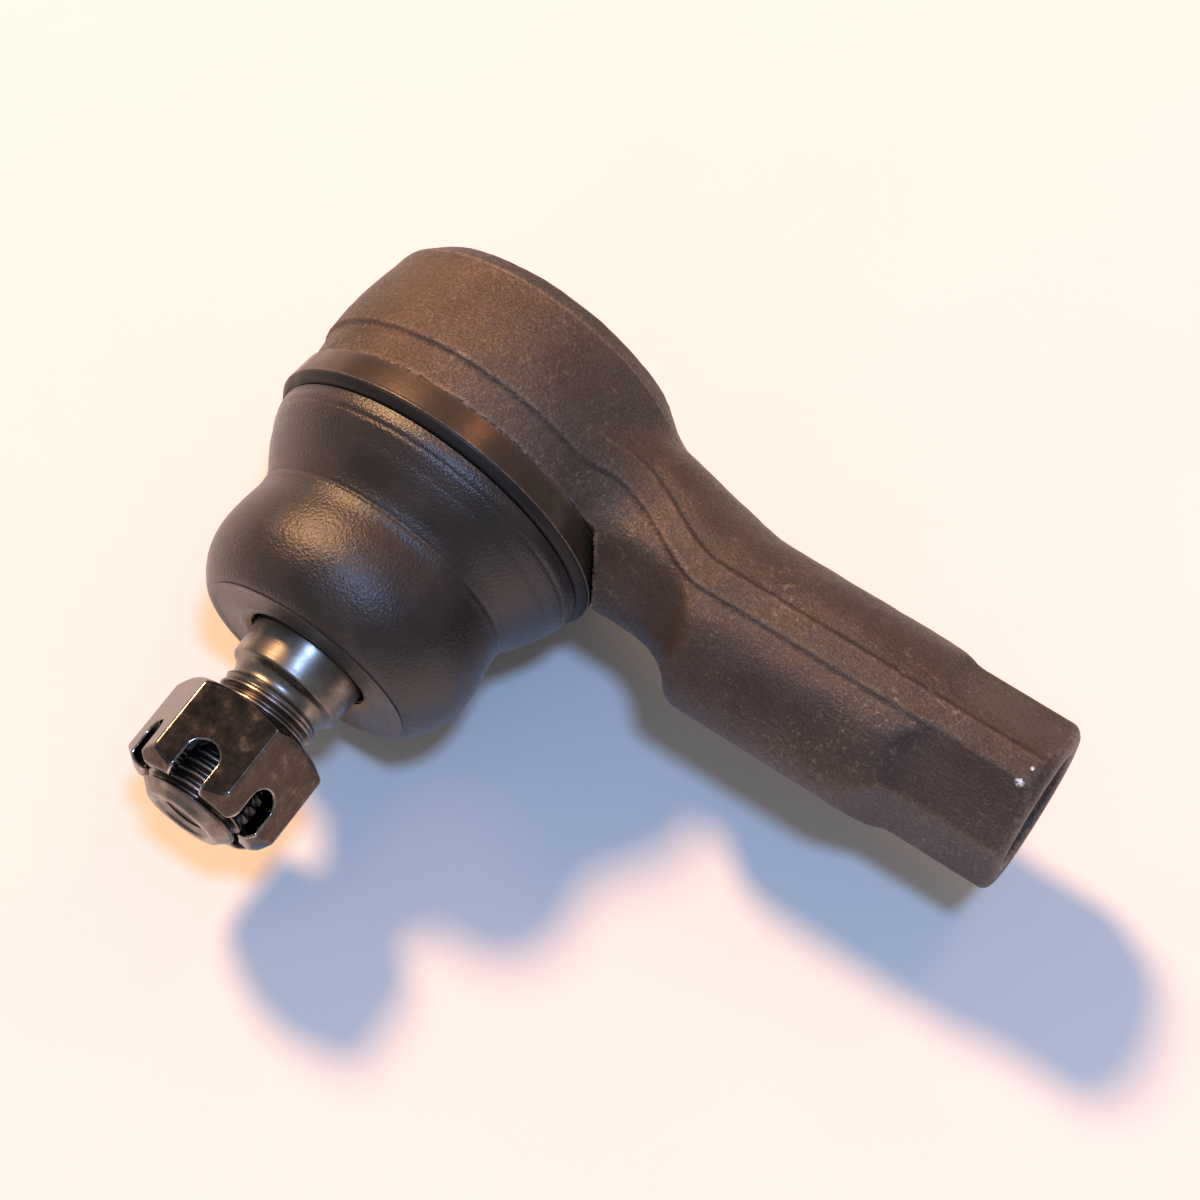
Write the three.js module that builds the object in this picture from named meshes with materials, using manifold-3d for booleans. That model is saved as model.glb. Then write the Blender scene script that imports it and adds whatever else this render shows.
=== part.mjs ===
// Tie rod end: a forged ball joint housing on a threaded shank, with its ball stud, seats,
// preload spring, end plug, dust boot and castle nut, each as its own closed solid.
// Millimetres. +X runs along the shank to its threaded end, the stud points along -Y, and +Z is up
// with the part lying on its side. The origin is the centre of the end plug's outer face.
// In this file y is measured from the shank's axis; the whole assembly is shifted at the end.
import * as THREE from 'three';
import { mergeVertices, toCreasedNormals } from 'three/addons/utils/BufferGeometryUtils.js';
import Module from 'manifold-3d';

const wasm = await Module();
wasm.setup();

// ---- Driving dimensions -------------------------------------------------------------------

const GAP = 0.3;                       // clearance between neighbouring pieces

const ROUND = 56;                      // facets round the head, ring and boot
const FINE = 36;                       // facets round the stud, nut bore and shank bore

const BALL_RADIUS = 11;
const BALL_Y = 2;                      // ball centre
const BALL_BACK_Y = 10;                // flat on the back of the ball

const PLUG_FACE_Y = 15;                // outer face of the end plug
const RIM_Y = 16.2;                    // crimped back rim of the head
const SEAT_FACE_Y = -2.4;              // shoulder that the boot's ring comes up to
const BOSS_FACE_Y = -6.5;              // front face of the boss inside the boot

const HEAD_RADIUS = 20.9;
const BORE_RADIUS = 15.7;              // main bore, round the seats
const PLUG_BORE_RADIUS = 17.4;         // counterbore, round the plug
const PLUG_SHOULDER_Y = 11;
const PLATE_HOLE_RADIUS = 7.2;
const CRIMP_RADIUS = 15.4;             // inner edge of the crimped rim
const CRIMP_Y = 15.3;                  // underside of the crimped rim
const BOSS_RADIUS = 17.4;

const FLASH_HALF = 1.8;                // half the height of the trimmed flash band
const FLASH_PROUD = 0.35;              // how far the band stands off the forging
const HEAD_FLASH_Y = 3.6;
const NECK_FLASH_Y = 4.8;
const SHANK_FLASH_Y = -0.5;

const SHANK_RADIUS = 10.9;
const SHANK_HALF_WIDTH = 10.35;        // across the parting line, inside the flash band
const SHANK_END_X = 75.4;
const NECK_START_X = 14.5;             // hidden inside the head
const NECK_END_X = 36.3;
const NECK_SLOPE = 0.225;              // rise of the neck's back towards the head

const FLATS_START_X = 55.5;
const FLATS_FULL_X = 62;
const FLAT_FRONT = 8.7;                // from the axis to the front and back wrench flats
const FLAT_SIDE = 9.75;                // from the axis to the four slanted flats
const FLAT_SLANT = THREE.MathUtils.degToRad(55);
const END_RADIUS = 10.8;               // where the rounded end's corner starts
const END_ROUNDING = 2.4;

const THREAD_BORE_RADIUS = 6.2;        // minor radius of the M14 x 1.5 female thread
const THREAD_BORE_MOUTH = 7.2;
const THREAD_BORE_END_X = 34;
const DRILL_POINT = 3.6;

const RING_TOP_Y = SEAT_FACE_Y - GAP;
const RING_RADIUS = 21.5;
const RING_BOTTOM_Y = -7.9;

const STUD_NECK_RADIUS = 5.5;
const TAPER_START_Y = -15.5;
const TAPER_RADIUS = 8;
const TAPER_END_Y = -33.9;
const TAPER_SLOPE = 1 / 16;            // 1:8 on diameter
const RELIEF_RADIUS = 5.6;
const THREAD_START_Y = -36.4;
const THREAD_RADIUS = 5.95;            // M12 x 1.25 crests
const THREAD_ROOT = 5.25;
const THREAD_PITCH = 1.25;
const STUD_END_Y = -52.1;
const STUD_END_RADIUS = 4.6;
const CUP_RADIUS = 3.6;
const COTTER_RADIUS = 1.6;
const COTTER_Y = -47.3;

const NUT_ACROSS_FLATS = 17;
const NUT_SEAT_Y = -39.2;
const NUT_END_Y = -50.4;
const NUT_BORE_RADIUS = THREAD_RADIUS + 0.35;
const NUT_TURN = THREE.MathUtils.degToRad(-3.5);
const SLOT_WIDTH = 3.8;
const SLOT_DEPTH = 5.2;
const HEX_SIDES = 6;
const HEX_STEP = Math.PI / 3;

const BOOT_END_Y = -30;
const LIP_RADIUS = 7.6;
const LIP_GROOVE_RADIUS = 9.5;

// ---- Materials ----------------------------------------------------------------------------

const finish = (color, roughness, metalness) =>
  new THREE.MeshStandardMaterial({ color, roughness, metalness });

const materials = {
  forged_steel: finish(0x4a4038, 0.55, 0.7),
  stamped_steel: finish(0x6a655e, 0.45, 0.8),
  spring_steel: finish(0x3d3c3b, 0.4, 0.85),
  machined_steel: finish(0x8d8880, 0.3, 0.95),
  nut_steel: finish(0x2f2c29, 0.35, 0.85),
  ring_steel: finish(0x35302b, 0.4, 0.5),
  boot_rubber: finish(0x25221f, 0.5, 0),
  seal_rubber: finish(0x1c1b1a, 0.6, 0),
  seat_plastic: finish(0xd9d3c3, 0.5, 0),
};

// ---- Solids -------------------------------------------------------------------------------

const at = (radius, y) => new THREE.Vector2(radius, y);

// Welds a geometry and hands it to manifold-3d.
function toSolid(geometry) {
  const bare = geometry.clone();
  bare.deleteAttribute('normal');
  bare.deleteAttribute('uv');
  const welded = mergeVertices(bare, 1e-4);
  const corners = welded.index.array;
  const kept = [];
  for (let i = 0; i < corners.length; i += 3) {
    const [a, b, c] = [corners[i], corners[i + 1], corners[i + 2]];
    if (a !== b && b !== c && c !== a) kept.push(a, b, c);
  }
  const solid = new wasm.Manifold(new wasm.Mesh({
    numProp: 3,
    vertProperties: new Float32Array(welded.attributes.position.array),
    triVerts: new Uint32Array(kept),
  }));
  if (solid.volume() <= 0) throw new Error('a solid is inside out');
  return solid;
}

function toGeometry(solid) {
  const mesh = solid.getMesh();
  const geometry = new THREE.BufferGeometry();
  geometry.setAttribute('position', new THREE.BufferAttribute(mesh.vertProperties, 3));
  geometry.setIndex(new THREE.BufferAttribute(mesh.triVerts, 1));
  return toCreasedNormals(geometry, 0.5);
}

// Turns a profile of (radius, y) points, listed in either direction, about the stud's axis.
function turned(profile, facets = ROUND) {
  const ordered = THREE.ShapeUtils.area(profile) < 0 ? [...profile].reverse() : [...profile];
  const touchesAxis = ordered[0].x === 0 && ordered.at(-1).x === 0;
  if (!touchesAxis) ordered.push(ordered[0].clone());
  return toSolid(new THREE.LatheGeometry(ordered, facets));
}

// The same, about the shank's axis: the profile's y becomes x.
function turnedAlongX(profile, facets = FINE) {
  return turned(profile, facets).rotate([0, 0, -90]);
}

function cylinderAlongX(radius, fromX, toX) {
  return turnedAlongX([at(0, fromX), at(radius, fromX), at(radius, toX), at(0, toX)]);
}

// A skin through rings of (y, z) points, one ring for each station along X, closed at both ends.
// A ring turns from +Y towards +Z.
function loft(stations, ringAt) {
  const rings = stations.map(ringAt);
  const count = rings[0].length;
  const position = [];
  const index = [];
  rings.forEach((ring, i) => ring.forEach(([y, z]) => position.push(stations[i], y, z)));
  for (let i = 0; i + 1 < rings.length; i += 1) {
    for (let j = 0; j < count; j += 1) {
      const a = i * count + j;
      const b = i * count + ((j + 1) % count);
      index.push(a, b, b + count, a, b + count, a + count);
    }
  }
  for (const last of [false, true]) {
    const ring = last ? rings.length - 1 : 0;
    const centre = position.length / 3;
    const middle = rings[ring].reduce((sum, [y]) => sum + y, 0) / count;
    position.push(stations[ring], middle, 0);
    for (let j = 0; j < count; j += 1) {
      const a = ring * count + j;
      const b = ring * count + ((j + 1) % count);
      if (last) index.push(centre, a, b);
      else index.push(centre, b, a);
    }
  }
  const geometry = new THREE.BufferGeometry();
  geometry.setAttribute('position', new THREE.Float32BufferAttribute(position, 3));
  geometry.setIndex(index);
  return toSolid(geometry);
}

const steps = (from, to, count) =>
  Array.from({ length: count + 1 }, (_, i) => from + ((to - from) * i) / count);

// Eases through [x, value] keys, flat before the first and after the last.
function eased(keys, x) {
  if (x <= keys[0][0]) return keys[0][1];
  for (let i = 1; i < keys.length; i += 1) {
    const [fromX, from] = keys[i - 1];
    const [toX, to] = keys[i];
    if (x <= toX) return from + (to - from) * THREE.MathUtils.smoothstep(x, fromX, toX);
  }
  return keys.at(-1)[1];
}

const arc = (centreY, radius, fromY, toY, count) => {
  const angle = (y) => Math.asin((y - centreY) / radius);
  return steps(angle(fromY), angle(toY), count).map((a) =>
    at(radius * Math.cos(a), centreY + radius * Math.sin(a)));
};

const spline = (points, count) => new THREE.SplineCurve(points).getPoints(count);

// ---- Housing ------------------------------------------------------------------------------

function headBlank() {
  const flashTop = HEAD_FLASH_Y + FLASH_HALF;
  const flashBottom = HEAD_FLASH_Y - FLASH_HALF;
  return turned([
    at(0, BOSS_FACE_Y),
    at(BOSS_RADIUS - 0.5, BOSS_FACE_Y),
    at(BOSS_RADIUS, BOSS_FACE_Y + 0.5),
    at(BOSS_RADIUS, SEAT_FACE_Y),
    at(HEAD_RADIUS - 0.7, SEAT_FACE_Y),
    at(HEAD_RADIUS, flashBottom),
    at(HEAD_RADIUS + FLASH_PROUD, flashBottom),
    at(HEAD_RADIUS + FLASH_PROUD, flashTop),
    at(HEAD_RADIUS - 0.5, RIM_Y - 2.2),
    at(HEAD_RADIUS - 1.2, RIM_Y - 0.8),
    at(HEAD_RADIUS - 2.2, RIM_Y),
    at(0, RIM_Y),
  ]);
}

// Room for the seats, spring and plug, open at the crimped rim and at the stud's opening.
function headCavity() {
  return turned([
    at(0, BOSS_FACE_Y - 1),
    at(10.9, BOSS_FACE_Y - 1),
    at(9.9, -4.9),
    at(9.9, -4.45),
    at(12.1, -4.45),
    at(BORE_RADIUS, -1.24),
    at(BORE_RADIUS, PLUG_SHOULDER_Y),
    at(PLUG_BORE_RADIUS, PLUG_SHOULDER_Y),
    at(PLUG_BORE_RADIUS, CRIMP_Y),
    at(CRIMP_RADIUS, CRIMP_Y),
    at(CRIMP_RADIUS, RIM_Y + 1),
    at(0, RIM_Y + 1),
  ]);
}

// One section of the neck and shank: two half ovals with the flash band between them.
function shankSection(x) {
  const flash = eased([[NECK_START_X, HEAD_FLASH_Y], [19.5, NECK_FLASH_Y], [34, SHANK_FLASH_Y]], x);
  const back = SHANK_RADIUS + NECK_SLOPE * Math.max(0, NECK_END_X - x);
  const width = SHANK_HALF_WIDTH + 2.2 * Math.exp((17 - x) / 3.2);
  const top = flash + FLASH_HALF;
  const bottom = flash - FLASH_HALF;
  const upper = steps(0, Math.PI / 2, 6).map((t) =>
    [top + (back - top) * Math.cos(t), width * Math.sin(t)]);
  const lower = steps(0, Math.PI / 2, 6).map((t) =>
    [bottom - (SHANK_RADIUS + bottom) * Math.sin(t), width * Math.cos(t)]);
  const proud = width + FLASH_PROUD;
  const half = [...upper, [top, proud], [bottom, proud], ...lower];
  const mirrored = half.slice(1, -1).reverse().map(([y, z]) => [y, -z]);
  return [...half, ...mirrored];
}

// The forging is scooped out in front of the neck, which leaves a shoulder where the shank starts.
function neckScoop() {
  const depthAt = (x, z) => {
    const filletRadius = 9;
    const fromFillet = THREE.MathUtils.clamp(x - 26.6, 0, filletRadius);
    const fillet = filletRadius - Math.sqrt(filletRadius ** 2 - fromFillet ** 2);
    return 0.9 + fillet + 5.4 * (1 - Math.min(1, (z / 10.8) ** 2));
  };
  const columns = steps(-17, 17, 16);
  return loft([12, 20, ...steps(26.6, 35.6, 9)], (x) => [
    ...columns.map((z) => [-depthAt(x, z), z]),
    [-32, 17],
    [-32, -17],
  ]);
}

// The six wrench flats, running out into the round shank.
function wrenchSleeve() {
  const ringAt = (x) => {
    const extra = 4.5 * (1 - THREE.MathUtils.smoothstep(x, FLATS_START_X, FLATS_FULL_X));
    const flat = FLAT_FRONT + extra;
    const side = FLAT_SIDE + extra;
    const corner = (side - flat * Math.cos(FLAT_SLANT)) / Math.sin(FLAT_SLANT);
    const tip = side / Math.sin(FLAT_SLANT);
    return [[flat, -corner], [flat, corner], [0, tip], [-flat, corner], [-flat, -corner], [0, -tip]];
  };
  const stations = [NECK_START_X - 6, ...steps(FLATS_START_X, FLATS_FULL_X, 6), SHANK_END_X + 1];
  return loft(stations, ringAt);
}

function roundedEnd() {
  const reach = 24;
  const corner = steps(0, Math.PI / 2, 4).map((a) => at(
    END_RADIUS - END_ROUNDING * (1 - Math.cos(a)),
    SHANK_END_X - END_ROUNDING * (1 - Math.sin(a)),
  ));
  return turnedAlongX([
    at(0, NECK_START_X - 6),
    at(reach, NECK_START_X - 6),
    at(reach, FLATS_START_X),
    at(END_RADIUS, FLATS_FULL_X),
    ...corner,
    at(0, SHANK_END_X),
  ]);
}

function threadBore() {
  return turnedAlongX([
    at(0, THREAD_BORE_END_X - DRILL_POINT),
    at(THREAD_BORE_RADIUS, THREAD_BORE_END_X),
    at(THREAD_BORE_RADIUS, SHANK_END_X - 1),
    at(THREAD_BORE_MOUTH, SHANK_END_X),
    at(THREAD_BORE_MOUTH, SHANK_END_X + 2),
    at(0, SHANK_END_X + 2),
  ]);
}

function housing() {
  const ringRoom = turned([
    at(0, -30), at(RING_RADIUS + 0.4, -30), at(RING_RADIUS + 0.4, SEAT_FACE_Y), at(0, SEAT_FACE_Y),
  ]);
  const stations = [...steps(NECK_START_X, 20, 6), ...steps(21.5, 35, 9), 48, SHANK_END_X];
  return loft(stations, shankSection)
    .subtract(neckScoop())
    .subtract(ringRoom)
    .intersect(wrenchSleeve())
    .intersect(roundedEnd())
    .add(headBlank())
    .subtract(headCavity())
    .subtract(threadBore());
}

// ---- Pieces inside the head ---------------------------------------------------------------

function endPlug() {
  return turned([
    at(0, 13.4), at(14, 13.4), at(14.3, 12.8), at(17.1, 12.8), at(17.1, 14.5), at(16.6, PLUG_FACE_Y),
    at(12, PLUG_FACE_Y), at(11.2, 14.5), at(9.3, 14.5), at(8.5, PLUG_FACE_Y), at(0, PLUG_FACE_Y),
  ]);
}

function plugSealRing() {
  const section = 0.6;
  const centre = at(16.5, PLUG_SHOULDER_Y + GAP + section);
  const circle = steps(0, 2 * Math.PI, 8).slice(0, -1);
  return turned(circle.map((a) =>
    at(centre.x + section * Math.cos(a), centre.y + section * Math.sin(a))));
}

// A coned disc spring: it rests on the pressure plate by its outer edge.
function preloadSpring() {
  return turned([at(12.4, 11.9), at(12.4, 12.45), at(6.2, 13.1), at(6.2, 12.55)]);
}

// A flat ring: the edge of the ball's back flat swings through its hole as the stud tilts.
function pressurePlate() {
  return turned([
    at(PLATE_HOLE_RADIUS, 10.7),
    at(15, 10.7),
    at(15, 11.6),
    at(PLATE_HOLE_RADIUS + 0.6, 11.6),
    at(PLATE_HOLE_RADIUS, 11.2),
  ]);
}

const SEAT_OUTER_RADIUS = BORE_RADIUS - GAP;
const SEAT_INNER_RADIUS = BALL_RADIUS + GAP;

function rearBallSeat() {
  return turned([
    at(SEAT_OUTER_RADIUS, BALL_Y + 0.3),
    at(SEAT_OUTER_RADIUS, 8.6),
    at(13.6, 10.4),
    at(7.6, 10.4),
    ...arc(BALL_Y, SEAT_INNER_RADIUS, 10.1, BALL_Y + 0.3, 8),
  ]);
}

function frontBallSeat() {
  return turned([
    ...arc(BALL_Y, SEAT_INNER_RADIUS, BALL_Y - 0.3, -4.1, 7),
    at(12, -4.1),
    at(SEAT_OUTER_RADIUS, -1.1),
    at(SEAT_OUTER_RADIUS, BALL_Y - 0.3),
  ]);
}

// ---- Boot and its rings -------------------------------------------------------------------

function bootPressRing() {
  return turned([
    at(18.6, RING_BOTTOM_Y),
    at(20.4, RING_BOTTOM_Y),
    at(21.2, -7.3),
    at(RING_RADIUS, -6.4),
    at(RING_RADIUS, -5.2),
    at(20.8, RING_TOP_Y),
    at(19.9, RING_TOP_Y),
    at(19.9, -7),
    at(18.6, -7),
  ]);
}

function dustBoot() {
  const outside = spline([
    at(19.1, -8.9), at(18, -12), at(16.3, -16), at(17, -21.5), at(16.4, -26), at(14.8, -28.8),
    at(13.3, BOOT_END_Y),
  ], 16);
  const inside = spline([
    at(11.6, -28), at(13.9, -25.6), at(14.8, -21.3), at(14.2, -16.2), at(15.5, -12), at(16.7, -8.6),
  ], 11);
  return turned([
    ...inside,
    at(17, -7.3),
    at(17.7, -6.8),
    at(17.7, -3.3),
    at(19.6, -3.3),
    at(19.6, -6.7),
    at(18.3, -6.7),
    at(18.3, -8.4),
    ...outside,
    at(8.6, BOOT_END_Y),
    at(LIP_RADIUS, -29.7),
    at(LIP_RADIUS, -29.6),
    at(LIP_GROOVE_RADIUS, -29.6),
    at(LIP_GROOVE_RADIUS, -28),
    at(LIP_RADIUS, -28),
    at(LIP_RADIUS, -27.2),
    at(9, -27.2),
  ]);
}

function bootLipRing() {
  return turned([
    at(LIP_RADIUS + 0.1, -29.3), at(LIP_GROOVE_RADIUS - GAP, -29.3),
    at(LIP_GROOVE_RADIUS - GAP, -28.3), at(LIP_RADIUS + 0.1, -28.3),
  ]);
}

// ---- Stud and nut -------------------------------------------------------------------------

function threadRings() {
  const points = [];
  const turns = Math.floor((THREAD_START_Y - STUD_END_Y - 1.4) / THREAD_PITCH);
  for (let turn = turns - 1; turn >= 0; turn -= 1) {
    const crest = THREAD_START_Y - turn * THREAD_PITCH;
    points.push(at(THREAD_ROOT, crest - 0.94), at(THREAD_RADIUS, crest - 0.4));
    points.push(at(THREAD_RADIUS, crest - 0.24), at(THREAD_ROOT, crest + 0.3));
  }
  return points;
}

function ballStud() {
  const taperEndRadius = TAPER_RADIUS - (TAPER_START_Y - TAPER_END_Y) * TAPER_SLOPE;
  const neckY = BALL_Y - Math.sqrt(BALL_RADIUS ** 2 - STUD_NECK_RADIUS ** 2);
  const blank = turned([
    at(0, STUD_END_Y + 0.9),
    at(CUP_RADIUS - 0.6, STUD_END_Y + 0.5),
    at(CUP_RADIUS, STUD_END_Y),
    at(STUD_END_RADIUS, STUD_END_Y),
    at(THREAD_ROOT, STUD_END_Y + 0.7),
    ...threadRings(),
    at(RELIEF_RADIUS, THREAD_START_Y + 0.5),
    at(RELIEF_RADIUS, THREAD_START_Y + 1),
    at(taperEndRadius - 0.9, TAPER_END_Y - 0.6),
    at(taperEndRadius, TAPER_END_Y),
    at(TAPER_RADIUS, TAPER_START_Y),
    at(TAPER_RADIUS - 0.5, TAPER_START_Y + 0.6),
    at(STUD_NECK_RADIUS + 0.4, -12.2),
    at(STUD_NECK_RADIUS, -11),
    ...arc(BALL_Y, BALL_RADIUS, neckY, BALL_BACK_Y, 13),
    at(0, BALL_BACK_Y),
  ], FINE);
  const cotterHole = cylinderAlongX(COTTER_RADIUS, -9, 9)
    .rotate([0, THREE.MathUtils.radToDeg(-NUT_TURN) - 30, 0])
    .translate([0, COTTER_Y, 0]);
  return blank.subtract(cotterHole);
}

function castleNut() {
  const cornerRadius = NUT_ACROSS_FLATS / 2 / Math.cos(HEX_STEP / 2);
  const height = NUT_SEAT_Y - NUT_END_Y;
  const corners = Array.from({ length: HEX_SIDES }, (_, i) => new THREE.Vector2(
    cornerRadius * Math.cos(i * HEX_STEP), cornerRadius * Math.sin(i * HEX_STEP)));
  const prism = toSolid(new THREE.ExtrudeGeometry(new THREE.Shape(corners),
    { depth: height, bevelEnabled: false })).rotate([90, 0, 0]).translate([0, NUT_SEAT_Y, 0]);
  const chamfered = turned([
    at(0, NUT_END_Y),
    at(NUT_BORE_RADIUS + 0.8, NUT_END_Y),
    at(7.9, NUT_END_Y),
    at(cornerRadius, NUT_END_Y + 1.2),
    at(cornerRadius + 0.05, NUT_SEAT_Y - 0.8),
    at(8.4, NUT_SEAT_Y),
    at(0, NUT_SEAT_Y),
  ]);
  const bore = turned([
    at(0, NUT_END_Y - 1), at(NUT_BORE_RADIUS, NUT_END_Y - 1), at(NUT_BORE_RADIUS, NUT_SEAT_Y - 0.6),
    at(NUT_BORE_RADIUS + 0.6, NUT_SEAT_Y), at(NUT_BORE_RADIUS + 0.6, NUT_SEAT_Y + 1),
    at(0, NUT_SEAT_Y + 1),
  ], FINE);
  let nut = prism.intersect(chamfered).subtract(bore);
  for (let i = 0; i < HEX_SIDES / 2; i += 1) {
    nut = nut.subtract(slotCutter().rotate([0, 30 + i * 60, 0]));
  }
  return nut.rotate([0, THREE.MathUtils.radToDeg(-NUT_TURN), 0]);
}

// A slot right across the nut, open at its free end, with a round bottom.
function slotCutter() {
  const half = SLOT_WIDTH / 2;
  const outline = new THREE.Shape();
  outline.moveTo(half, NUT_END_Y - 1);
  outline.lineTo(half, NUT_END_Y + SLOT_DEPTH - half);
  outline.absarc(0, NUT_END_Y + SLOT_DEPTH - half, half, 0, Math.PI, false);
  outline.lineTo(-half, NUT_END_Y - 1);
  const reach = 12;
  return toSolid(new THREE.ExtrudeGeometry(outline,
    { depth: 2 * reach, bevelEnabled: false, curveSegments: 10 })).translate([0, 0, -reach]);
}

// ---- Assembly -----------------------------------------------------------------------------

const assembly = new THREE.Group();
assembly.position.y = -PLUG_FACE_Y;

function place(name, solid, material) {
  const mesh = new THREE.Mesh(toGeometry(solid), material);
  mesh.name = name;
  assembly.add(mesh);
}

place('housing', housing(), materials.forged_steel);
place('end_plug', endPlug(), materials.stamped_steel);
place('plug_seal_ring', plugSealRing(), materials.seal_rubber);
place('preload_spring', preloadSpring(), materials.spring_steel);
place('pressure_plate', pressurePlate(), materials.stamped_steel);
place('rear_ball_seat', rearBallSeat(), materials.seat_plastic);
place('front_ball_seat', frontBallSeat(), materials.seat_plastic);
place('boot_press_ring', bootPressRing(), materials.ring_steel);
place('dust_boot', dustBoot(), materials.boot_rubber);
place('boot_lip_ring', bootLipRing(), materials.spring_steel);
place('ball_stud', ballStud(), materials.machined_steel);
place('castle_nut', castleNut(), materials.nut_steel);

const tieRodEnd = new THREE.Group();
tieRodEnd.add(assembly);

export default tieRodEnd;
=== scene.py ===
# Looks for the tie rod end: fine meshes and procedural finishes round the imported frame.
# Shapes are worked out in millimetres, with y measured from the shank's axis as in the design,
# and written to meshes in metres in the frame's own place.
import math

import bpy
import numpy as np
from mathutils import Matrix, Vector


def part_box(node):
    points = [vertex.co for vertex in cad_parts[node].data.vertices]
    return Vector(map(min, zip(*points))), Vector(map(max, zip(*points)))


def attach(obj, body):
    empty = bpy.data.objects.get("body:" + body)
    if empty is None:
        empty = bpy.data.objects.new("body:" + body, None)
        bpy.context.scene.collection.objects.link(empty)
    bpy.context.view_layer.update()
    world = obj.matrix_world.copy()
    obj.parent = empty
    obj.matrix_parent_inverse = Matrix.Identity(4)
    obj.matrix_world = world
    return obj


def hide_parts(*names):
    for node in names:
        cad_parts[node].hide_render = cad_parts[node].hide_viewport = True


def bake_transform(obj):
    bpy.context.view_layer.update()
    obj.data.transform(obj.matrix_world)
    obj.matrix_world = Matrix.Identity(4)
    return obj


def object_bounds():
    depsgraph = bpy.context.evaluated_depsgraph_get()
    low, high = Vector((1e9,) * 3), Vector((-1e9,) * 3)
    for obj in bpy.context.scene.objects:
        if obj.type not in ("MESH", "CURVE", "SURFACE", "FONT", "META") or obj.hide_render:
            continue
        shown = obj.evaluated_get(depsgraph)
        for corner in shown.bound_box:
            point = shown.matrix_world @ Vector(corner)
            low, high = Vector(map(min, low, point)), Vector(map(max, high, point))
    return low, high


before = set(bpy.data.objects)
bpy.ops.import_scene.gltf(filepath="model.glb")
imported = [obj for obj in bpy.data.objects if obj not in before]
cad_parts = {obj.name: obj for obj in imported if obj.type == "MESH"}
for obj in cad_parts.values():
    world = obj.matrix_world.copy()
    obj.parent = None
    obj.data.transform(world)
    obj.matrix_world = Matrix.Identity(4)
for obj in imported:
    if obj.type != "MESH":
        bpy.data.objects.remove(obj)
cad_low, cad_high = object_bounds()

MM = 0.001
PLUG_FACE_Y = 15.0           # from the shank's axis to the end plug's face, the frame's origin
TAU = 2 * math.pi


def span(node):
    """A node's lowest and highest corners in millimetres, with y from the shank's axis."""
    low, high = (np.array(corner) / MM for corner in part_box(node))
    low[1] += PLUG_FACE_Y
    high[1] += PLUG_FACE_Y
    return low, high


# ---- Driving dimensions ---------------------------------------------------------------------

HOUSING_LOW, HOUSING_HIGH = span("housing")
SHANK_END_X = HOUSING_HIGH[0]
RIM_Y = HOUSING_HIGH[1]
BOOT_END_Y = span("dust_boot")[0][1]
_, RING_HIGH = span("boot_press_ring")
RING_RADIUS = RING_HIGH[0]
NUT_LOW, NUT_HIGH = span("castle_nut")
NUT_END_Y, NUT_SEAT_Y = NUT_LOW[1], NUT_HIGH[1]
STUD_LOW, STUD_HIGH = span("ball_stud")
STUD_END_Y, BALL_BACK_Y = STUD_LOW[1], STUD_HIGH[1]

BALL_Y = 2.0
BALL_RADIUS = STUD_HIGH[0]
SEAT_FACE_Y = -2.4
BOSS_FACE_Y = -6.5
BOSS_RADIUS = 17.4
HEAD_RADIUS = 20.9
HEAD_FRONT_STEP, HEAD_FRONT_DRAFT = 0.3, 14      # narrower at the seat, widening 1 in 14
HEAD_BACK_DRAFT = 0.1
CRIMP_LINE_Y = 14.0          # where the head's side turns over into the crimped band
CRIMP_INSET = 0.8
CRIMP_FACING = (0.774, 0.633)
BORE_RADIUS = 15.7
PLUG_BORE_RADIUS = 17.4
PLUG_SHOULDER_Y = 11.0
RIM_RADIUS, RIM_LIP_Y = 15.4, 15.3
PLUG_RADIUS, PLUG_BACK_Y = 17.1, 12.8
MOUTH_RADIUS, MOUTH_FLARE, MOUTH_FLARE_Y = 9.9, 0.38, -4.9
SOCKET_FACE_Y, SOCKET_RADIUS, SOCKET_SLOPE = -4.45, 12.1, 1.12

FLASH_HALF = 1.8
FLASH_PROUD = 0.35
HEAD_FLASH_Y = 3.6
NECK_FLASH_Y = 4.8
SHANK_FLASH_Y = -0.5
SHANK_RADIUS = 10.9
SHANK_HALF_WIDTH = 10.35
NECK_START_X = 14.5
NECK_OVERLAP = 3.0           # how far the neck runs into the head
NECK_END_X = 36.3
NECK_SLOPE = 0.225
NECK_FILLET, HEAD_FILLET = 1.8, 3.8
SCOOP_START_X = 26.6
SCOOP_RADIUS = 9.0
SCOOP_HALF_WIDTH = 10.8
SCOOP_EDGE_DEPTH, SCOOP_DEPTH = 0.9, 5.4

FLATS_FULL_X, FLATS_LIMIT_X = 62.0, 50.0
FLATS_RUN_OUT = 0.45
FLAT_FRONT, FLAT_SIDE = 8.7, 9.75
FLAT_SLANT = math.radians(55)
END_RADIUS, END_ROUNDING = 10.8, 2.4
SHANK_THREAD_MINOR, SHANK_THREAD_MAJOR, SHANK_THREAD_PITCH = 6.2, 7.0, 1.5
THREAD_BORE_MOUTH = 7.2
THREAD_BORE_END_X, THREAD_RUN_IN = 34.0, 6.0
DRILL_POINT = 0.55
NICKS = [((73.0, -2.2, 10.4), 0.62), ((73.4, -0.3, 10.6), 0.3)]      # places and radii

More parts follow.
